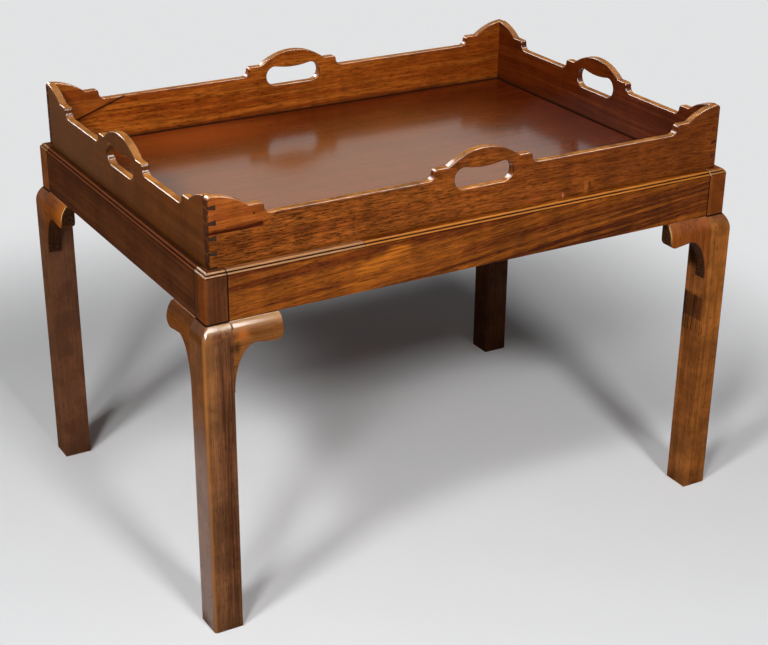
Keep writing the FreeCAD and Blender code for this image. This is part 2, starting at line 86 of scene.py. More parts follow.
class Nodes:
    """A node tree, with a short call for each kind of node that it gets."""

    def __init__(self, tree):
        self.tree = tree
        self.tree.nodes.clear()

    def add(self, kind, *inputs, **settings):
        """A new node with these settings, and with values or links in its first inputs."""
        node = self.tree.nodes.new(kind)
        for key, value in settings.items():
            setattr(node, key, value)
        for socket, value in zip(node.inputs, inputs):
            self.put(socket, value)
        return node

    def put(self, socket, value):
        """Links a socket to value, or sets it."""
        if isinstance(value, bpy.types.NodeSocket):
            self.tree.links.new(value, socket)
        else:
            socket.default_value = value

    def math(self, operation, *inputs):
        """A sum, product or other operation on numbers."""
        return self.add("ShaderNodeMath", *inputs, operation=operation).outputs[0]

    def vector(self, operation, *inputs):
        """A vector operation that gives a vector."""
        return self.add("ShaderNodeVectorMath", *inputs, operation=operation).outputs["Vector"]

    def measure(self, operation, *inputs):
        """A vector operation that gives a number, such as a length."""
        return self.add("ShaderNodeVectorMath", *inputs, operation=operation).outputs["Value"]

    def scaled(self, vector, amount):
        """A vector or a colour times amount."""
        if not isinstance(vector, bpy.types.NodeSocket):
            vector = vector[:3]
        node = self.add("ShaderNodeVectorMath", vector, operation="SCALE")
        self.put(node.inputs["Scale"], amount)
        return node.outputs[0]

    def ease(self, value, low_end, high_end, start=0.0, end=1.0):
        """start below low_end, end above high_end, and a smooth change between them."""
        return self.add("ShaderNodeMapRange", value, low_end, high_end, start, end,
                        interpolation_type="SMOOTHSTEP").outputs[0]

    def mix(self, amount, a, b):
        """Colour a, turning into b as amount goes from 0 to 1."""
        node = self.add("ShaderNodeMix", data_type="RGBA")
        self.put(node.inputs["Factor"], amount)
        self.put(node.inputs[6], a)
        self.put(node.inputs[7], b)
        return node.outputs[2]

    def both(self, *masks):
        """The part that lies in every mask."""
        result = masks[0]
        for mask in masks[1:]:
            result = self.math("MULTIPLY", result, mask)
        return result

    def either(self, *masks):
        """All that lies in one mask or another."""
        result = masks[0]
        for mask in masks[1:]:
            result = self.math("MAXIMUM", result, mask)
        return result

    def band(self, value, centre, half, soft):
        """1 within half of centre, down to 0 over soft on each side."""
        off = self.math("ABSOLUTE", self.math("SUBTRACT", value, centre))
        return self.ease(off, half, half + soft, 1.0, 0.0)

    def within(self, value, first, last, soft):
        """1 from first to last, down to 0 over soft on each side."""
        return self.band(value, (first + last) / 2, (last - first) / 2, soft)


class Finish(Nodes):
    """The nodes of one material: patterns and masks on the surface, and its shader."""

    def __init__(self, name):
        self.material = bpy.data.materials.new(name)
        self.material.use_nodes = True
        super().__init__(self.material.node_tree)
        self.coords = self.add("ShaderNodeTexCoord").outputs["Object"]
        self.x, self.y, self.z = self.parts(self.coords)
        self.dirt = 0.0

    def parts(self, vector):
        """The X, Y and Z of a vector."""
        return self.add("ShaderNodeSeparateXYZ", vector).outputs[:3]

    def noise(self, where, along, across, detail, roughness=0.5):
        """Noise with that many cells to the metre along the grain and across it."""
        node = self.add("ShaderNodeTexNoise")
        self.put(node.inputs["Vector"], self.vector("MULTIPLY", where, (along, across, across)))
        node.inputs["Scale"].default_value = 1.0
        node.inputs["Detail"].default_value = detail
        node.inputs["Roughness"].default_value = roughness
        return node.outputs["Fac"]

    def drift(self, where, cells, detail, reach):
        """An offset that wanders from place to place, within half of reach each way."""
        node = self.add("ShaderNodeTexNoise")
        self.put(node.inputs["Vector"], where)
        node.inputs["Scale"].default_value = cells
        node.inputs["Detail"].default_value = detail
        off = self.vector("SUBTRACT", node.outputs["Color"], (0.5, 0.5, 0.5))
        return self.vector("MULTIPLY", off, reach)

    def wavering(self, amount, cells=60):
        """The coordinates moved about by up to amount, for lines that aren't ruled."""
        return self.vector("ADD", self.coords,
                           self.drift(self.coords, cells, 2.0, (2 * amount,) * 3))

    def spot(self, where, centre, radii, core=0.4):
        """An oval spot: 1 in its core, down to 0 at its radii."""
        off = self.vector("DIVIDE", self.vector("SUBTRACT", where, centre), radii)
        return self.ease(self.measure("LENGTH", off), core, 1.0, 1.0, 0.0)

    def stroke(self, where, start, end, half, soft):
        """A stroke from start to end, half wide to each side."""
        start, end = Vector(start), Vector(end)
        run = end - start
        off = self.vector("SUBTRACT", where, start)
        along = self.measure("DOT_PRODUCT", off, run / run.length_squared)
        along = self.add("ShaderNodeClamp", along).outputs[0]
        gap = self.measure("DISTANCE", off, self.scaled(run, along))
        return self.ease(gap, half, half + soft, 1.0, 0.0)

    def away(self, axis):
        """Distance from the table's middle, across an axis."""
        return self.math("ABSOLUTE", getattr(self, axis))

    def normal(self, axis):
        """The surface normal's part along an axis."""
        normal = self.add("ShaderNodeNewGeometry").outputs["Normal"]
        return self.parts(normal)["xyz".index(axis)]

    def facing(self, axis):
        """How squarely the surface faces along an axis, to either side, 0 to 1."""
        return self.math("ABSOLUTE", self.normal(axis))

    def rounding(self):
        """1 on rounded edges, 0 on the flats."""
        flat = self.either(self.facing("x"), self.facing("y"), self.facing("z"))
        return self.ease(flat, 0.90, 0.995, 1.0, 0.0)

    def corner(self):
        """1 on the upright arrises, 0 elsewhere."""
        return self.both(self.rounding(), self.ease(self.facing("z"), 0.1, 0.4, 1.0, 0.0))

    def dull(self, mask):
        """Takes the polish off the mask."""
        self.dirt = self.math("MAXIMUM", self.dirt, mask)

    def surface(self, colour, rough, height, depth, coat=0.0, coat_roughness=0.1, metallic=0.0):
        """Joins colour, roughness and bump to one Principled shader."""
        bump = self.add("ShaderNodeBump")
        bump.inputs["Strength"].default_value = 1.0
        bump.inputs["Distance"].default_value = depth
        self.put(bump.inputs["Height"], height)
        shader = self.add("ShaderNodeBsdfPrincipled", colour)
        self.put(shader.inputs["Roughness"], rough)
        self.put(shader.inputs["Normal"], bump.outputs[0])
        shader.inputs["Metallic"].default_value = metallic
        shader.inputs["Specular IOR Level"].default_value = 0.0
        self.put(shader.inputs["Coat Weight"], coat)
        shader.inputs["Coat Roughness"].default_value = coat_roughness
        self.add("ShaderNodeOutputMaterial", shader.outputs[0])


# How far the coordinates turn for the grain to run along X.
GRAIN_TURN = {"x": (0, 0, 0), "y": (0, 0, -math.pi / 2), "z": (0, math.pi / 2, 0)}


def grain_space(f, grain, seed, tilt, sway):
    """Coordinates whose X runs along the grain, a little tilted and wandering."""
    turned = f.add("ShaderNodeMapping", f.coords, (0, 0, 0), GRAIN_TURN[grain])
    moved = f.add("ShaderNodeMapping", turned.outputs[0],
                  (seed * 1.7, seed * 0.9, seed * 1.3), (0, tilt, 0)).outputs[0]
    slow = f.vector("MULTIPLY", moved, (2.5, 6.0, 6.0))
    return f.vector("ADD", moved, f.drift(slow, 1.0, 1.0, (0, sway, sway)))


def mahogany(name, grain, dark, middle, light, seed, tilt=0.0, figure=0.6, ribbon=0.5,
             ribbon_width=9 * MM, ribbon_cells=0.9, fibre=0.5, fibre_cells=12, pores=0.5,
             mottle=0.12, fade=None, worn=None, marks=None, coat=0.12, edge_coat=0.8,
             dull_corners=False, coat_roughness=0.14):
    """Old polished mahogany: broad figure, ribbon stripe, fibres, pores and polish.

    figure, ribbon, fibre, pores and mottle say how strongly each of them shows, and the cells
    say how many ribbons or fibres follow each other in a metre along the grain. fade is
    (start, end, amount): the wood darkens by that amount from start to end of its length.
    The tone after fade, for the top faces, paints them paler: rubbed wear, and a painted
    highlight where they face up to the light. marks(f, wood, colour) may paint over the colour
    and returns it, where wood is the grain's own coordinates. The polish is coat thick on the
    flats, a number or a function of f, and edge_coat on the rounded edges, but not on the
    upright ones with dull_corners.
    """
    f = Finish(name)
    wood = grain_space(f, grain, seed, tilt, 0.02)
    broad = f.ease(f.noise(wood, 2.5, 22, 4.0, 0.6), 0.36, 0.66)
    stripe = f.ease(f.noise(wood, ribbon_cells, 1 / ribbon_width, 3.0, 0.6), 0.40, 0.60)
    cross = f.noise(wood, 34, 16, 2.0, 0.6)
    threads = f.noise(wood, fibre_cells, 520, 3.0, 0.65)
    ticks = f.ease(f.noise(wood, 110, 900, 1.0), 0.58, 0.68)

    colour = f.mix(f.math("MULTIPLY", broad, figure), middle, dark)
    colour = f.mix(f.math("MULTIPLY", stripe, ribbon), colour, light)
    shade = f.both(f.ease(cross, 0.3, 0.7, 1 - mottle, 1 + mottle),
                   f.ease(threads, 0.3, 0.7, 1 - 0.28 * fibre, 1 + 0.28 * fibre),
                   f.math("MULTIPLY_ADD", ticks, -0.55 * pores, 1.0))
    colour = f.scaled(colour, shade)
    if fade:
        start, end, amount = fade
        length = f.y if grain == "y" else f.x
        colour = f.mix(f.ease(length, start, end, 0.0, amount), colour, dark)
    # Top faces painted paler: rubbed wear, and a painted highlight where they face the light.
    if worn:
        rubbed = f.ease(f.noise(f.coords, 30, 30, 2.0, 0.6), 0.3, 0.6, 0.45, 0.95)
        top = f.ease(f.facing("z"), 0.45, 0.9)
        colour = f.mix(f.both(top, rubbed), colour, f.scaled(worn, shade))
    if marks:
        colour = marks(f, wood, colour)

    rough = f.ease(f.noise(wood, 9, 60, 3.0, 0.6), 0.25, 0.75, 0.35, 0.51)
    height = f.math("MULTIPLY_ADD", threads, 0.5, f.math("MULTIPLY", ticks, -0.7))
    edge = f.rounding()
    if dull_corners:
        edge = f.math("SUBTRACT", edge, f.corner())
    polish = f.ease(edge, 0.0, 1.0, coat(f) if callable(coat) else coat, edge_coat)
    polish = f.math("MULTIPLY", polish, f.math("SUBTRACT", 1.0, f.dirt))
    f.surface(colour, rough, height, 0.08 * MM, polish, coat_roughness)
    return f.material


def dress(material, *nodes):
    """Gives CAD nodes that material."""
    for name in nodes:
        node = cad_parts[name]
        if not node.material_slots:
            node.data.materials.append(material)
        for slot in node.material_slots:
            slot.material = material


# ---------------------------------------------------------------- marks of age and making, and painted light and shade
# The dark of dirt and joints, which also serves as painted shade.
GRIME_AND_SHADE = srgb(30, 17, 11)
GLUE = srgb(38, 18, 9)


def paint(f, colour, mask, tone, amount=1.0):
    """Paints a tone over the mask, under the polish."""
    return f.mix(f.math("MULTIPLY", mask, amount), colour, tone)


def darken(f, colour, mask, tone=GRIME_AND_SHADE, amount=0.85):
    """Paints a dark tone over the mask, and takes the polish off it."""
    f.dull(f.math("MULTIPLY", mask, amount))
    return paint(f, colour, mask, tone, amount)


def joint_line(f, value, place, half):
    """A dark line across the wood where two pieces meet at value = place."""
    return f.band(value, place, half, 0.5 * MM)


def moulding_lines(f, colour, crown_highlight, quirk_dirt_and_shade=0.8):
    """Dirt and painted shade in the two quirks of the moulding, and duller crowns on its beads,
    painted paler as highlights.
    """
    f.dull(f.ease(f.z, MOULDING_BOTTOM, MOULDING_BOTTOM + 1 * MM, 0.0, 0.65))
    height = f.math("SUBTRACT", f.z, MOULDING_BOTTOM)
    crowns = f.either(f.within(height, 1.2 * MM, 2.0 * MM, 0.5 * MM),
                      f.within(height, 3.9 * MM, 5.0 * MM, 0.5 * MM))
    quirks = f.either(f.band(height, 0.0, 0.15 * MM, 0.55 * MM),
                      f.band(height, BEAD, 0.2 * MM, 0.5 * MM))
    # Painted highlights along the crowns of the beads.
    colour = paint(f, colour, crowns, crown_highlight, 0.6)
    # Dirt and painted shade in the quirks.
    return darken(f, colour, quirks, amount=quirk_dirt_and_shade)


def post_marks(f, wood, colour):
    """Darker foot, cloudy polish, rounded edges paler from wear and a painted highlight, and the
    post's dark joints, moulding and bottom seam.
    """
    cloud = f.ease(f.noise(f.coords, 28, 28, 4.0, 0.65), 0.35, 0.65)
    colour = f.scaled(colour, f.ease(cloud, 0.0, 1.0, 0.82, 1.14))
    foot = f.both(f.ease(f.z, 2 * MM, 34 * MM, 1.0, 0.0), cloud)
    colour = darken(f, colour, foot, amount=0.65)
    # Rounded edges below the shoulder painted paler: wear, and a painted highlight where they catch
    # light.
    arris_wear_and_highlight = f.both(f.rounding(),
                   f.ease(f.z, SHOULDER - 30 * MM, SHOULDER - 6 * MM, 1.0, 0.0))
    colour = paint(f, colour, arris_wear_and_highlight, srgb(170, 108, 44), 0.35)
    above = f.ease(f.z, SHOULDER - 1 * MM, SHOULDER + 1 * MM)
    f.dull(f.math("MULTIPLY", above, 0.6))
    joints = f.either(joint_line(f, f.away("x"), POST_JOINT_X, 0.5 * MM),
                      joint_line(f, f.away("y"), POST_JOINT_Y, 0.2 * MM))
    seam = f.band(f.z, SHOULDER, 0.6 * MM, 0.8 * MM)
    colour = moulding_lines(f, colour, srgb(168, 116, 62))
    colour = darken(f, colour, f.both(above, joints), amount=1.0)
    return darken(f, colour, seam, amount=1.0)


def post_tone(f, colour, tone, amount):
    """The post above the leg's shoulder has a tone of its own."""
    post = f.ease(f.z, SHOULDER - 2 * MM, SHOULDER + 2 * MM)
    return paint(f, colour, post, tone, amount)


def floor_polish(f):
    """Full polish on top of the tray's floor, none underneath."""
    return f.ease(f.normal("z"), 0.0, 0.5, 0.02, 0.8)


def roll_wear_and_highlight(f, colour):
    """Paler wood along the roll in which the near leg and its bracket end: rubbed wear, and a
    painted highlight where the roll faces up to the light.
    """
    roll = f.both(f.band(f.facing("z"), 0.68, 0.08, 0.26),
                  f.ease(f.z, SHOULDER - 20 * MM, SHOULDER - 12 * MM),
                  f.ease(f.facing("x"), 0.1, 0.4, 1.0, 0.0))
    return paint(f, colour, roll, srgb(204, 156, 92), 0.32)


def near_leg_polish(f):
    """The lower part of the left face still has its full polish."""
    lower = f.ease(f.z, 180 * MM, 320 * MM, 1.0, 0.0)
    return f.ease(f.both(lower, f.facing("x")), 0.0, 1.0, 0.14, 0.82)


def near_leg_marks(f, wood, colour):
    """Golden band by the left edge (wear and a painted highlight), a darker run of grain beside it,
    a painted shadow at the bracket's joint, and painted shade on the left side of the roll.
    """
    colour = paint(f, colour, f.facing("x"), srgb(108, 60, 16), 0.75)
    cloud = f.ease(f.noise(wood, 7, 60, 3.0, 0.6), 0.3, 0.7)
    wavy = f.math("MULTIPLY_ADD", cloud, 5 * MM, f.x)
    front = f.facing("y")
    streaks = f.ease(f.noise(wood, 7, 300, 3.0, 0.6), 0.38, 0.6, 0.25, 1.0)
    run = f.both(front, streaks, f.band(wavy, -336 * MM, 4 * MM, 7 * MM))
    colour = darken(f, colour, run, srgb(58, 29, 18), 0.75)
    # A golden band beside the rounded left edge: wear, and a painted highlight.
    gold_wear_and_highlight = f.both(front, f.ease(wavy, -361 * MM, -341 * MM, 1.0, 0.0),
                  f.ease(cloud, 0.0, 1.0, 0.45, 1.0),
                  f.ease(f.z, 150 * MM, 330 * MM, 0.3, 1.0))
    colour = paint(f, colour, gold_wear_and_highlight, srgb(150, 98, 46), 0.6)
    # Painted shadow where the bracket meets the leg.
    patch = f.spot(f.wavering(3 * MM), mm(-329, -260, 357), mm(6, 10, 9), 0.1)
    colour = darken(f, colour, patch, amount=0.6)
    colour = roll_wear_and_highlight(f, colour)
    # Painted shade on the left-facing part of the roll, with its polish taken off.
    side_roll_shade = f.both(f.ease(f.z, SHOULDER - 24 * MM, SHOULDER - 14 * MM),
                       f.ease(f.facing("x"), 0.15, 0.5),
                       f.ease(f.facing("y"), 0.1, 0.4, 1.0, 0.0))
    colour = darken(f, colour, side_roll_shade, srgb(84, 44, 16), 0.6)
    colour = post_tone(f, colour, srgb(68, 33, 13), 0.65)
    corner = f.both(f.facing("x"), f.ease(f.z, SHOULDER, SHOULDER + 1 * MM),
                    f.ease(f.y, -POST_JOINT_Y - 14 * MM, -POST_JOINT_Y - 6 * MM, 1.0, 0.0))
    colour = paint(f, colour, corner, srgb(116, 54, 12), 0.7)
    return post_marks(f, wood, colour)


def left_leg_marks(f, wood, colour):
    """Golden left face with dark streaks, and a duller, redder front."""
    colour = paint(f, colour, f.facing("y"), srgb(104, 72, 54), 0.45)
    streaks = f.ease(f.noise(wood, 5, 260, 3.0, 0.6), 0.36, 0.6, 0.15, 0.75)
    colour = paint(f, colour, f.both(f.facing("x"), streaks), srgb(104, 68, 40))
    roll = f.both(f.facing("x"), f.ease(f.z, SHOULDER - 56 * MM, SHOULDER - 6 * MM))
    colour = paint(f, colour, roll, srgb(132, 70, 24), 0.45)
    return post_marks(f, wood, colour)


def right_leg_marks(f, wood, colour):
    """Dark streaked patch on the inner face, painted shade in the hollow below the bracket, small
    knots.
    """
    inner = f.both(f.facing("x"),
                   f.ease(f.x, POST_JOINT_X + 9 * MM, POST_JOINT_X + 26 * MM, 1.0, 0.0))
    colour = paint(f, colour, inner, srgb(78, 44, 26), 0.3)
    box = f.both(inner, f.within(f.z, 246 * MM, 276 * MM, 1.2 * MM))
    colour = darken(f, colour, box, srgb(70, 38, 20), 0.75)
    streaks = f.both(inner, f.within(f.z, 228 * MM, 276 * MM, 5 * MM),
                     f.ease(f.noise(wood, 6, 420, 2.0), 0.42, 0.62))
    colour = darken(f, colour, streaks, srgb(36, 20, 13), 0.9)
    # Painted shade in the hollow under the bracket.
    hollow = f.spot(f.wavering(4 * MM, 50), (POST_JOINT_X, -238 * MM, 334 * MM), mm(9, 22, 26))
    colour = darken(f, colour, hollow, amount=0.8)
    knots = f.either(f.spot(f.coords, on_face(334, -LEG_FACE_Y, 190), mm(2, 5, 2.5)),
                     f.spot(f.coords, on_face(347, -LEG_FACE_Y, 186), mm(1.5, 5, 2)),
                     f.spot(f.coords, on_face(345, -LEG_FACE_Y, 247), mm(2, 5, 1.5)))
    colour = darken(f, colour, knots, amount=0.55)
    colour = post_tone(f, colour, srgb(106, 50, 17), 0.6)
    colour = post_marks(f, wood, colour)
    filler = f.both(f.band(f.x, POST_JOINT_X + 0.8 * MM, 0.3 * MM, 0.4 * MM),
                    f.ease(f.z, MOULDING_BOTTOM - 1 * MM, MOULDING_BOTTOM),
                    f.ease(f.y, -2 * MM, 0.0, 1.0, 0.0))
    return paint(f, colour, filler, srgb(196, 176, 146), 0.7)


def rail_joints(f, colour, away, place, crown_highlight=srgb(190, 122, 46)):
    """The lines of a rail's moulding, and its dark joints with the posts."""
    colour = moulding_lines(f, colour, crown_highlight)
    return darken(f, colour, joint_line(f, away, place, 0.6 * MM), amount=1.0)


def long_rail_marks(f, wood, colour):
    """The front and back rails, which run along X."""
    return rail_joints(f, colour, f.away("x"), POST_JOINT_X)


def short_rail_marks(f, wood, colour):
    """The left and right rails, which run along Y and have duller beads."""
    return rail_joints(f, colour, f.away("y"), POST_JOINT_Y, srgb(128, 62, 24))


def front_rail_marks(f, wood, colour):
    """Golden, silky wisps in the middle, with a dark spot at their left."""
    where = f.wavering(9 * MM, 24)
    bright = f.stroke(where, on_face(-164, -RAIL_FACE_Y, 412),
                      on_face(-112, -RAIL_FACE_Y, 429), 0.0, 15 * MM)
    faint = f.stroke(where, on_face(-190, -RAIL_FACE_Y, 396),
                     on_face(-40, -RAIL_FACE_Y, 408), 0.0, 10 * MM)
    wisps = f.either(bright, f.math("MULTIPLY", faint, 0.5))
    silk = f.ease(f.noise(wood, 20, 420, 3.0, 0.65), 0.40, 0.60)
    colour = paint(f, colour, f.both(wisps, silk), srgb(184, 104, 28), 0.85)
    spot = f.spot(where, on_face(-159, -RAIL_FACE_Y, 428), mm(7, 30, 8), 0.0)
    colour = darken(f, colour, spot, srgb(74, 30, 14), 0.7)
    return long_rail_marks(f, wood, colour)


def repair_marks(f, wood, colour):
    """The let-in length: paler crowns painted as highlights, dirt and painted shade in its quirks,
    and dark butt joints.
    """
    colour = moulding_lines(f, colour, srgb(170, 126, 80), 1.0)
    ends = f.either(joint_line(f, f.x, -POST_JOINT_X, 0.6 * MM),
                    joint_line(f, f.x, REPAIR_JOINT_X, 0.5 * MM))
    return darken(f, colour, ends)


def end_grain(f, colour, mask, tone, amount):
    """Sawn ends: darker, with small dark specks."""
    mottled = f.ease(f.noise(f.coords, 900, 900, 2.0, 0.6), 0.35, 0.65, 0.6, 1.3)
    return paint(f, colour, mask, f.scaled(tone, mottled), amount)


def tray_grime_and_shade(f, colour):
    """Dirt on the upright corners, painted shade on the boards towards the tray's floor, and the
    dark crack where they meet it.
    """
    dirt = f.ease(f.noise(f.coords, 160, 160, 3.0, 0.7), 0.35, 0.55, 0.35, 0.95)
    colour = darken(f, colour, f.both(f.corner(), dirt), srgb(48, 26, 14), 1.0)
    # Painted shade on the boards towards the floor, and the dark crack of the joint.
    foot = f.ease(f.z, TRAY_FLOOR_TOP, TRAY_FLOOR_TOP + 8 * MM, 0.6, 0.0)
    crack = f.ease(f.z, TRAY_FLOOR_TOP + 1 * MM, TRAY_FLOOR_TOP + 2.4 * MM, 0.9, 0.0)
    return darken(f, colour, f.either(foot, crack), amount=1.0)


def tray_long_marks(own):
    """The marks of a long board of the tray, from own, the marks that only it has."""
    def marks(f, wood, colour):
        """The board's own marks, end grain of the tails at the corners, and grime."""
        colour = own(f, wood, colour)
        ends = f.ease(f.away("x"), TRAY_HALF_X - 0.6 * MM, TRAY_HALF_X - 0.1 * MM)
        colour = end_grain(f, colour, f.both(ends, f.facing("x")), srgb(44, 24, 15), 0.85)
        return tray_grime_and_shade(f, colour)
    return marks


def tray_short_marks(f, wood, colour):
    """End grain of the pins, weaker on the right, and a painted sheen that pales the left board
    towards its far end.
    """
    # Painted sheen on the left board, paler towards its far end.
    pale = f.both(f.facing("x"), f.ease(f.x, -60 * MM, 60 * MM, 0.35, 0.0),
                  f.ease(f.y, -140 * MM, 220 * MM))
    colour = paint(f, colour, pale, srgb(112, 80, 56))
    ends = f.ease(f.away("y"), TRAY_HALF_Y - 0.6 * MM, TRAY_HALF_Y - 0.1 * MM)
    left = f.ease(f.x, -100 * MM, 100 * MM, 1.0, 0.3)
    colour = end_grain(f, colour, f.both(ends, f.facing("y"), left), srgb(50, 36, 28), 0.9)
    return tray_grime_and_shade(f, colour)


def front_board_marks(f, wood, colour):
    """Dark flecks, most on the left, a reddish stain, a knot with a flame, a pinkish chip."""
    flecks = f.both(f.ease(f.noise(wood, 70, 560, 3.0, 0.65), 0.50, 0.62),
                    f.ease(f.x, -250 * MM, 100 * MM, 0.75, 0.4))
    colour = darken(f, colour, flecks, srgb(56, 26, 8), 1.0)
    stain = f.spot(f.wavering(8 * MM, 40), on_face(70, -TRAY_HALF_Y, 452), mm(16, 60, 12), 0.0)
    colour = paint(f, colour, stain, srgb(150, 70, 34), 0.4)
    flame = f.both(f.spot(f.wavering(5 * MM, 80), on_face(147, -TRAY_HALF_Y, 453),
                          mm(13, 12, 17), 0.0),
                   f.ease(f.noise(f.coords, 260, 60, 2.0, 0.6), 0.42, 0.58))
    colour = paint(f, colour, flame, srgb(170, 96, 34), 0.5)
    knot = f.spot(f.wavering(5 * MM, 90), on_face(152, -TRAY_HALF_Y, 450), mm(6, 12, 11), 0.0)
    colour = darken(f, colour, knot, srgb(58, 26, 11), 0.7)
    chip = f.spot(f.wavering(3 * MM, 170), on_face(112.4, -TRAY_HALF_Y, 448.6),
                  mm(2.6, 6, 4.2), 0.3)
    return paint(f, colour, chip, srgb(192, 112, 78), 0.75)


def front_patch_marks(f, wood, colour):
    """Dark streaks of the front ear along its glue line, and a small dark dot."""
    where = f.wavering(2 * MM, 50)
    line = f.stroke(where, on_face(-345, -TRAY_HALF_Y, 483.2),
                    on_face(-282, -TRAY_HALF_Y, 485), 0.6 * MM, 5 * MM)
    rise = f.stroke(where, on_face(-282, -TRAY_HALF_Y, 485),
                    on_face(-262, -TRAY_HALF_Y, LOW_EDGE_MM), 0.0, 1.6 * MM)
    streak = f.stroke(where, on_face(-322, -TRAY_HALF_Y, 488),
                      on_face(-288, -TRAY_HALF_Y, 489.5), 0.2 * MM, 2 * MM)
    dot = f.spot(f.coords, on_face(-290.4, -TRAY_HALF_Y, 498.5), mm(2, 5, 1.6))
    dark = f.either(line, f.math("MULTIPLY", rise, 0.5), f.math("MULTIPLY", streak, 0.6), dot)
    return darken(f, colour, dark, srgb(50, 17, 7), 0.95)


def back_patch_marks(f, wood, colour):
    """The slanting dark glue line of the back ear, and the stain beside it."""
    stain = f.stroke(f.wavering(3 * MM, 40), on_face(-330, INNER_HALF_Y, 462),
                     on_face(-262, INNER_HALF_Y, 490), 0.0, 6 * MM)
    colour = darken(f, colour, stain, srgb(92, 36, 12), 0.6)
    line = f.stroke(f.wavering(0.8 * MM, 90), (-TRAY_HALF_X, INNER_HALF_Y, 461 * MM),
                    on_face(-243, INNER_HALF_Y, LOW_EDGE_MM), 0.5 * MM, 1.2 * MM)
    return darken(f, colour, line, GLUE, 0.95)


def near_bracket_marks(f, wood, colour):
    """Dark joint with the leg, its nick, a painted shadow beside the joint, and an orange glow
    beside them.
    """
    glow = f.spot(f.wavering(5 * MM, 50), mm(-318, -260, 370), mm(12, 12, 12), 0.0)
    colour = paint(f, colour, glow, srgb(184, 100, 36), 0.5)
    colour = roll_wear_and_highlight(f, colour)
    # Painted shadow where the bracket meets the leg.
    patch = f.spot(f.wavering(3 * MM), mm(-324, -260, 357), mm(8, 12, 11), 0.1)
    colour = darken(f, colour, patch, amount=0.7)
    joint = f.both(joint_line(f, f.x, -POST_JOINT_X, 0.2 * MM),
                   f.ease(f.z, SHOULDER - 46 * MM, SHOULDER - 21 * MM, 0.3, 0.8))
    nick = f.spot(f.coords, mm(-327.6, -256, 381), mm(2.2, 9, 4.6))
    colour = darken(f, colour, f.either(joint, nick))
    return darken(f, colour, f.facing("x"), srgb(40, 22, 14), 0.35)


def long_bracket_marks(f, wood, colour):
    """Dark ends of a bracket along X, where the end grain has drunk the polish."""
    return darken(f, colour, f.facing("x"))


def short_bracket_marks(f, wood, colour):
    """The same on a bracket along Y."""
    return darken(f, colour, f.facing("y"), amount=0.8)


def scroll_end(f, colour, axis, start, end, glow, rim):
    """Bright rim of a bracket's scroll, rubbed and with a painted highlight, and its dark, rough,
    speckled end.

    start is where the golden wood begins along the axis, and end is where the bracket ends.
    glow and rim say how strongly the golden wood and the rim's painted highlight show.
    """
    where = f.x if axis == "x" else f.y
    square = f.facing(axis)
    side = f.ease(square, 0.5, 0.9, 1.0, 0.0)
    nearness = (0.0, glow) if end > start else (glow, 0.0)
    golden = f.scaled(srgb(176, 96, 24),
                      f.ease(f.z, SHOULDER - 36 * MM, SHOULDER - 6 * MM, 0.6, 1.0))
    towards_end = f.ease(where, min(start, end), max(start, end), *nearness)
    colour = paint(f, colour, f.both(side, towards_end), golden)
    # A painted highlight along the rim of the scroll.
    edge = f.both(side, f.band(where, end, 1.0 * MM, 2.2 * MM),
                  f.ease(f.z, SHOULDER - 24 * MM, SHOULDER - 14 * MM))
    colour = paint(f, colour, edge, srgb(238, 196, 120), rim)
    colour = darken(f, colour, square, srgb(30, 18, 14), 0.92)
    specks = f.both(f.ease(f.noise(f.coords, 700, 700, 2.0, 0.6), 0.56, 0.64),
                    f.ease(square, 0.7, 0.95))
    return paint(f, colour, specks, srgb(112, 84, 48), 0.5)


def left_bracket_marks(f, wood, colour):
    """Golden roll with a painted highlight on its rim, towards the front."""
    end = low("bracket_left_back", "y")
    return scroll_end(f, colour, "y", end + 40 * MM, end, 0.85, 0.8)


def right_bracket_marks(f, wood, colour):
    """Rubbed rim with a painted highlight, and the dark end of the right leg's front bracket."""
    end = low("bracket_front_right", "x")
    return scroll_end(f, colour, "x", end + 24 * MM, end, 0.25, 0.35)


def hollow_bracket_marks(f, wood, colour):
    """The right leg's side bracket, with painted shade on its upper inside."""
    colour = short_bracket_marks(f, wood, colour)
    wavy_height = f.parts(f.wavering(4 * MM, 50))[2]
    outside = high("bracket_right_front", "x")
    # Painted shade inside the bracket, under the shoulder.
    dark = f.both(f.ease(wavy_height, SHOULDER - 60 * MM, SHOULDER - 48 * MM),
                  f.ease(f.x, outside - 15 * MM, outside - 8 * MM, 1.0, 0.0))
    return darken(f, colour, dark, srgb(34, 20, 13), 0.9)


def floor_marks(f, wood, colour):
    """A paler middle of wear and painted sheen, a painted reflection of the back board at the far
    left, and the dark gap, dirt and painted shade along the walls.
    """
    across, deep = f.parts(f.wavering(45 * MM, 5))[:2]
    # Paler middle: wear, and a painted sheen where the floor mirrors the bright backdrop.
    worn = f.both(f.ease(across, -370 * MM, -225 * MM, 0.15, 1.0),
                  f.ease(across, 80 * MM, 320 * MM, 1.0, 0.0),
                  f.ease(deep, 40 * MM, 215 * MM, 1.0, 0.0))
    faded_and_sheen = f.mix(0.6, f.scaled(colour, 2.2), srgb(140, 94, 44))
    colour = paint(f, colour, worn, faded_and_sheen, 0.9)
    # Painted reddish reflection of the lit back board at the far left.
    warm_reflection = f.spot(f.coords, (-160 * MM, 190 * MM, TRAY_FLOOR_TOP), mm(180, 80, 1000), 0.0)
    colour = paint(f, colour, warm_reflection, srgb(158, 76, 28), 0.7)
    # Dark gap, and painted shade in the corner, along the walls.
    walls = f.either(*(f.ease(f.away(axis), wall - 4 * MM, wall - 1.2 * MM)
                       for axis, wall in (("x", INNER_HALF_X), ("y", INNER_HALF_Y))))
    return darken(f, colour, walls, amount=0.9)


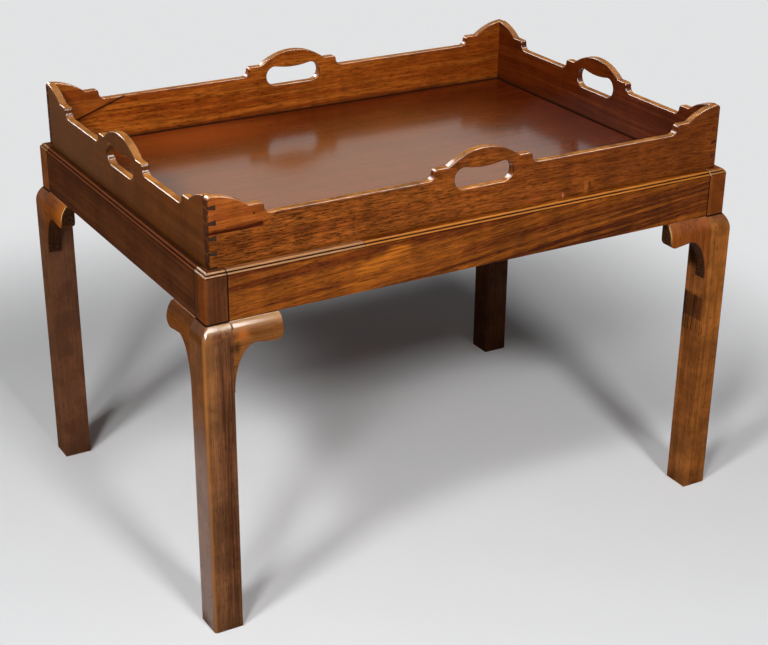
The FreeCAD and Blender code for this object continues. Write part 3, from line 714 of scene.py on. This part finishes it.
def pine(name):
    """Pale secondary wood of the corner blocks, dirty with age."""
    f = Finish(name)
    wood = grain_space(f, "z", 3.3, 0.02, 0.01)
    rings = f.ease(f.noise(wood, 3, 190, 2.0), 0.35, 0.65)
    colour = f.mix(rings, srgb(168, 128, 82), srgb(126, 86, 48))
    dirt = f.ease(f.noise(f.coords, 40, 40, 4.0, 0.6), 0.4, 0.7)
    colour = paint(f, colour, dirt, srgb(92, 62, 38), 0.5)
    f.surface(colour, f.ease(dirt, 0.0, 1.0, 0.6, 0.8), rings, 0.12 * MM)
    return f.material


def metal(name, tone, tarnish, roughness):
    """Old screws: worn metal with darker tarnish."""
    f = Finish(name)
    stain = f.ease(f.noise(f.coords, 700, 700, 3.0, 0.6), 0.35, 0.65)
    colour = f.mix(stain, tone, tarnish)
    rough = f.ease(stain, 0.0, 1.0, roughness, roughness + 0.25)
    f.surface(colour, rough, stain, 0.02 * MM, metallic=1.0)
    return f.material


# Dark, middle and light tones of each piece's wood, written as 0 to 255.
TONES = {
    "leg_near": ((69, 40, 26), (107, 64, 37), (138, 91, 53)),
    "leg_left": ((62, 32, 17), (98, 53, 28), (124, 72, 37)),
    "leg_right": ((94, 48, 18), (134, 76, 27), (160, 98, 40)),
    # The far leg's tones are darker, a painted shade of the table's shadow on it.
    "leg_far_shaded": ((42, 22, 10), (66, 34, 14), (86, 48, 21)),
    "rail_front": ((56, 21, 7), (93, 41, 10), (126, 67, 17)),
    "rail_left": ((51, 25, 12), (76, 40, 19), (95, 53, 27)),
    "rail_right": ((64, 26, 12), (98, 46, 20), (128, 68, 30)),
    "rail_back": ((70, 28, 12), (104, 50, 22), (138, 76, 30)),
    "repair": ((70, 38, 20), (112, 66, 36), (146, 94, 54)),
    "bracket_near": ((73, 39, 18), (107, 59, 25), (135, 85, 38)),
    "bracket_right": ((80, 38, 14), (116, 57, 18), (144, 78, 28)),
    "bracket_long": ((84, 40, 14), (122, 60, 18), (150, 82, 28)),
    "bracket_short": ((66, 32, 12), (102, 54, 18), (130, 74, 28)),
    "bracket_left": ((74, 34, 11), (114, 58, 18), (144, 80, 28)),
    "bracket_hollow": ((88, 44, 16), (124, 68, 22), (150, 88, 32)),
    "tray_front": ((80, 33, 9), (122, 61, 18), (150, 84, 28)),
    "tray_back": ((88, 34, 9), (138, 66, 17), (170, 98, 30)),
    "tray_left": ((60, 32, 14), (88, 47, 18), (108, 62, 27)),
    "tray_right": ((58, 18, 5), (87, 34, 7), (118, 54, 16)),
    "patch_front": ((92, 34, 10), (130, 62, 18), (160, 88, 32)),
    "patch_back": ((96, 38, 12), (140, 68, 20), (168, 96, 34)),
    "floor": ((70, 21, 4), (90, 31, 7), (104, 42, 11)),
}


def make_wood(name, grain, seed, *nodes, **looks):
    """Makes a mahogany of that name's tones and gives it to the nodes."""
    tones = (srgb(*tone) for tone in TONES[name])
    dress(mahogany(name, grain, *tones, seed, **looks), *nodes)


# ---------------------------------------------------------------- the stand
LEG_POLISH = {"edge_coat": 0.5, "coat_roughness": 0.2}
NEAR_POLISH = {"edge_coat": 0.95, "coat_roughness": 0.2, "dull_corners": True}
MOULDED = {"edge_coat": 0.15}
THIN_POLISH = {"coat": 0.04, "edge_coat": 0.12, "coat_roughness": 0.2}

make_wood("leg_near", "z", 1.0, "leg_front_left", ribbon=0.4, ribbon_width=11 * MM,
          fibre=0.8, fibre_cells=20, pores=0.7, mottle=0.1, marks=near_leg_marks,
          coat=near_leg_polish, **NEAR_POLISH)
make_wood("leg_left", "z", 2.1, "leg_back_left", ribbon=0.35, fibre=0.9, fibre_cells=25,
          pores=0.8, marks=left_leg_marks, coat=0.06, edge_coat=0.2)
make_wood("leg_right", "z", 3.4, "leg_front_right", figure=0.8, pores=0.7, mottle=0.2,
          marks=right_leg_marks, **LEG_POLISH)
make_wood("leg_far_shaded", "z", 4.6, "leg_back_right", ribbon=0.3, marks=post_marks, edge_coat=0.2)

make_wood("rail_front", "x", 5.2, "rail_front", tilt=0.08, figure=0.75, ribbon=0.85,
          ribbon_cells=1.3, fibre=1.3, fibre_cells=45, pores=0.8, mottle=0.18,
          marks=front_rail_marks, **MOULDED)
make_wood("rail_left", "y", 6.3, "rail_left", ribbon=0.4, marks=short_rail_marks,
          coat=0.03, edge_coat=0.03)
make_wood("rail_right", "y", 7.1, "rail_right", marks=short_rail_marks, **MOULDED)
make_wood("rail_back", "x", 8.8, "rail_back", ribbon=0.6, marks=long_rail_marks, **MOULDED)
make_wood("repair", "x", 9.5, "moulding_repair", ribbon=0.4, marks=repair_marks,
          coat=0.4, edge_coat=0.4)

make_wood("bracket_near", "x", 10.4, "bracket_front_left", figure=0.5,
          marks=near_bracket_marks, **dict(NEAR_POLISH, coat_roughness=0.13))
make_wood("bracket_right", "z", 11.7, "bracket_front_right", marks=right_bracket_marks,
          **LEG_POLISH)
make_wood("bracket_long", "z", 11.2, "bracket_back_left", "bracket_back_right",
          marks=long_bracket_marks, **LEG_POLISH)
make_wood("bracket_short", "y", 12.9, "bracket_left_front", "bracket_right_back", ribbon=0.4,
          marks=short_bracket_marks, **THIN_POLISH)
make_wood("bracket_left", "y", 13.5, "bracket_left_back", marks=left_bracket_marks,
          **THIN_POLISH)
make_wood("bracket_hollow", "y", 12.1, "bracket_right_front", marks=hollow_bracket_marks,
          **LEG_POLISH)

dress(pine("block_pine"), *(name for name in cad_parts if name.startswith("corner_block")))
dress(metal("steel", srgb(150, 146, 140), srgb(70, 58, 50), 0.35), "block_screws")

# ---------------------------------------------------------------- the tray
# Tone of the boards' top faces: rubbed wear, and a painted highlight.
WORN_AND_LIT = srgb(176, 114, 50)

make_wood("tray_front", "x", 13.3, "tray_side_front", ribbon=0.35, ribbon_width=12 * MM,
          fibre=1.6, fibre_cells=45, pores=1.0, mottle=0.22, fade=(-200 * MM, 320 * MM, 0.5),
          worn=WORN_AND_LIT, marks=tray_long_marks(front_board_marks), dull_corners=True)
make_wood("tray_back", "x", 14.8, "tray_side_back", ribbon_width=8 * MM, ribbon_cells=2.5,
          fibre=1.3, fibre_cells=45, pores=0.9, mottle=0.13, fade=(-50 * MM, 320 * MM, 0.35),
          worn=WORN_AND_LIT, marks=tray_long_marks(back_patch_marks))
make_wood("tray_left", "y", 15.9, "tray_side_left", figure=0.4, ribbon=0.3, fibre=0.3,
          pores=0.25, worn=WORN_AND_LIT, marks=tray_short_marks, coat=0.05, edge_coat=0.7,
          dull_corners=True)
make_wood("tray_right", "y", 16.6, "tray_side_right", ribbon=0.4, pores=0.4, worn=WORN_AND_LIT,
          marks=tray_short_marks, dull_corners=True)
make_wood("patch_front", "x", 17.2, "ear_patch_front", ribbon=0.6, ribbon_width=5 * MM,
          worn=WORN_AND_LIT, marks=tray_long_marks(front_patch_marks), dull_corners=True)
make_wood("patch_back", "x", 18.4, "ear_patch_back", worn=WORN_AND_LIT,
          marks=tray_long_marks(back_patch_marks))
make_wood("floor", "x", 19.9, "tray_floor", ribbon=0.4, ribbon_width=7 * MM, fibre=1.2,
          pores=0.7, mottle=0.08, marks=floor_marks, coat=floor_polish, edge_coat=0.02,
          coat_roughness=0.15)
dress(metal("brass", srgb(196, 156, 84), srgb(110, 78, 40), 0.3), "floor_screws")


# ---------------------------------------------------------------- the studio
PALE = (0.76, 0.7638, 0.7714, 1)
WORLD_FILL = 0.04
FLOOR_HALF = 30.0
# The camera sees the floor as it is lit this far from the table's middle, and further out the
# floor fades into the backdrop.
NEAR_X, NEAR_Y = 0.42, 0.55
FADE = 0.6

# Each lamp's name, place, height of what it points at, size, and power in watts.
KEY_LAMPS = (
    ("lamp_ahead", (0.03, -1.21, 1.25), 0.35, 0.4, 12),
    ("lamp_left", (-2.1, -1.2, 2.35), 0.35, 0.6, 72),
)
FILL_LAMPS = (
    ("lamp_behind", (0.3, 2.2, 1.9), 0.4, 1.6, 2.5),
    ("fill_back", (0.3, 2.3, 1.1), 0.35, 1.4, 22),
    ("fill_right", (2.2, 0.3, 1.1), 0.35, 1.4, 22),
)
GLINTS = (
    ("glint_ahead", (-0.55, -1.3, 1.3), 0.4, 0.8, 54),
    ("glint_above", (0.75, -0.47, 1.85), 0.45, 0.9, 44),
    ("glint_behind", (-0.6, 1.55, 1.5), 0.45, 0.9, 44),
)
GROUND_LAMPS = (
    ("ground_left", (-2.17, -1.10, 2.72), 0.2, 0.46, 54),
    ("ground_corner", (-2.10, -2.10, 2.05), 0.2, 0.46, 51),
    ("ground_ahead", (-0.19, -2.75, 2.35), 0.2, 0.46, 58),
)


def beyond(f, value, reach):
    """How far value is past reach, on either side of the middle."""
    return f.math("MAXIMUM", f.math("SUBTRACT", f.math("ABSOLUTE", value), reach), 0.0)


def studio_floor():
    """A wide pale floor that fades into the pale backdrop away from the table."""
    mesh = bpy.data.meshes.new("studio_floor")
    corners = [(x * FLOOR_HALF, y * FLOOR_HALF, 0) for x, y in ((-1, -1), (1, -1), (1, 1), (-1, 1))]
    mesh.from_pydata(corners, [], [(0, 1, 2, 3)])
    floor = bpy.data.objects.new("studio_floor", mesh)
    bpy.context.scene.collection.objects.link(floor)

    f = Finish("studio_paper")
    cloud = f.noise(f.coords, 2.5, 2.5, 3.0)
    colour = f.mix(cloud, (0.70, 0.71, 0.72, 1), (0.74, 0.75, 0.76, 1))
    paper = f.add("ShaderNodeBsdfPrincipled", colour)
    paper.inputs["Roughness"].default_value = 0.9
    paper.inputs["Specular IOR Level"].default_value = 0.1
    backdrop = f.add("ShaderNodeEmission", PALE)

    past_x, past_y = beyond(f, f.x, NEAR_X), beyond(f, f.y, NEAR_Y)
    away = f.math("SQRT", f.math("ADD", f.both(past_x, past_x), f.both(past_y, past_y)))
    rays = f.add("ShaderNodeLightPath").outputs
    mirrored = f.either(rays["Is Glossy Ray"], rays["Is Transmission Ray"])
    far = f.either(f.both(rays["Is Camera Ray"], f.ease(away, 0.0, FADE)),
                   f.both(mirrored, f.ease(away, 2 * FADE, 5 * FADE)))
    blend = f.add("ShaderNodeMixShader", far, paper.outputs[0], backdrop.outputs[0])
    f.add("ShaderNodeOutputMaterial", blend.outputs[0])
    mesh.materials.append(f.material)
    return floor


def studio_world():
    """Dim white light from all round, seen as the pale backdrop."""
    world = bpy.data.worlds.new("studio")
    bpy.context.scene.world = world
    world.use_nodes = True
    n = Nodes(world.node_tree)
    rays = n.add("ShaderNodeLightPath").outputs
    seen = n.either(rays["Is Camera Ray"], rays["Is Glossy Ray"], rays["Is Transmission Ray"])
    light = n.add("ShaderNodeBackground", (1, 1, 1, 1), WORLD_FILL)
    backdrop = n.add("ShaderNodeBackground", PALE)
    blend = n.add("ShaderNodeMixShader", seen, light.outputs[0], backdrop.outputs[0])
    n.add("ShaderNodeOutputWorld", blend.outputs[0])


def softbox(name, place, aim, size, power, glossy=True, diffuse=True):
    """A square lamp that the camera doesn't see, pointed at the middle at height aim."""
    lamp = bpy.data.lights.new(name, "AREA")
    lamp.shape = "SQUARE"
    lamp.size = size
    lamp.energy = power
    holder = bpy.data.objects.new(name, lamp)
    bpy.context.scene.collection.objects.link(holder)
    holder.location = place
    ahead = Vector((0, 0, aim)) - Vector(place)
    holder.rotation_euler = ahead.to_track_quat("-Z", "Y").to_euler()
    holder.visible_camera = False
    holder.visible_glossy = glossy
    holder.visible_diffuse = diffuse
    return holder


def light_only(lamp, objects):
    """Lets a lamp light only these objects. All objects still cast its shadows."""
    lit = bpy.data.collections.new(lamp.name + "_lights")
    for thing in objects:
        lit.objects.link(thing)
    lamp.light_linking.receiver_collection = lit


def studio_lamps(table, ground):
    """Soft light on the table, thin lights seen in its polish, and light on the ground."""
    for lamp in KEY_LAMPS:
        light_only(softbox(*lamp), table)
    for lamp in FILL_LAMPS:
        light_only(softbox(*lamp, glossy=False), table)
    for lamp in GLINTS:
        softbox(*lamp, diffuse=False)
    for lamp in GROUND_LAMPS:
        light_only(softbox(*lamp, glossy=False), ground)


def studio_camera():
    """The camera, from its azimuth, elevation and roll."""
    a, e, r = AZIMUTH, ELEVATION, ROLL
    ahead = Vector((-math.sin(a) * math.cos(e), math.cos(a) * math.cos(e), -math.sin(e)))
    level = Vector((math.cos(a), math.sin(a), 0))
    upright = level.cross(ahead)
    right = math.cos(r) * level + math.sin(r) * upright
    up = -math.sin(r) * level + math.cos(r) * upright
    data = bpy.data.cameras.new("camera")
    data.lens = LENS
    data.sensor_width = SENSOR_WIDTH
    data.shift_x, data.shift_y = SHIFT_X, SHIFT_Y
    camera = bpy.data.objects.new("camera", data)
    bpy.context.scene.collection.objects.link(camera)
    turn = Matrix((right, up, -ahead)).transposed().to_4x4()
    camera.matrix_world = Matrix.Translation(CAMERA_PLACE) @ turn
    bpy.context.scene.camera = camera


floor_sheet = studio_floor()
studio_world()
studio_lamps(list(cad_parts.values()), [floor_sheet])
studio_camera()
bpy.context.scene.view_settings.view_transform = "Standard"
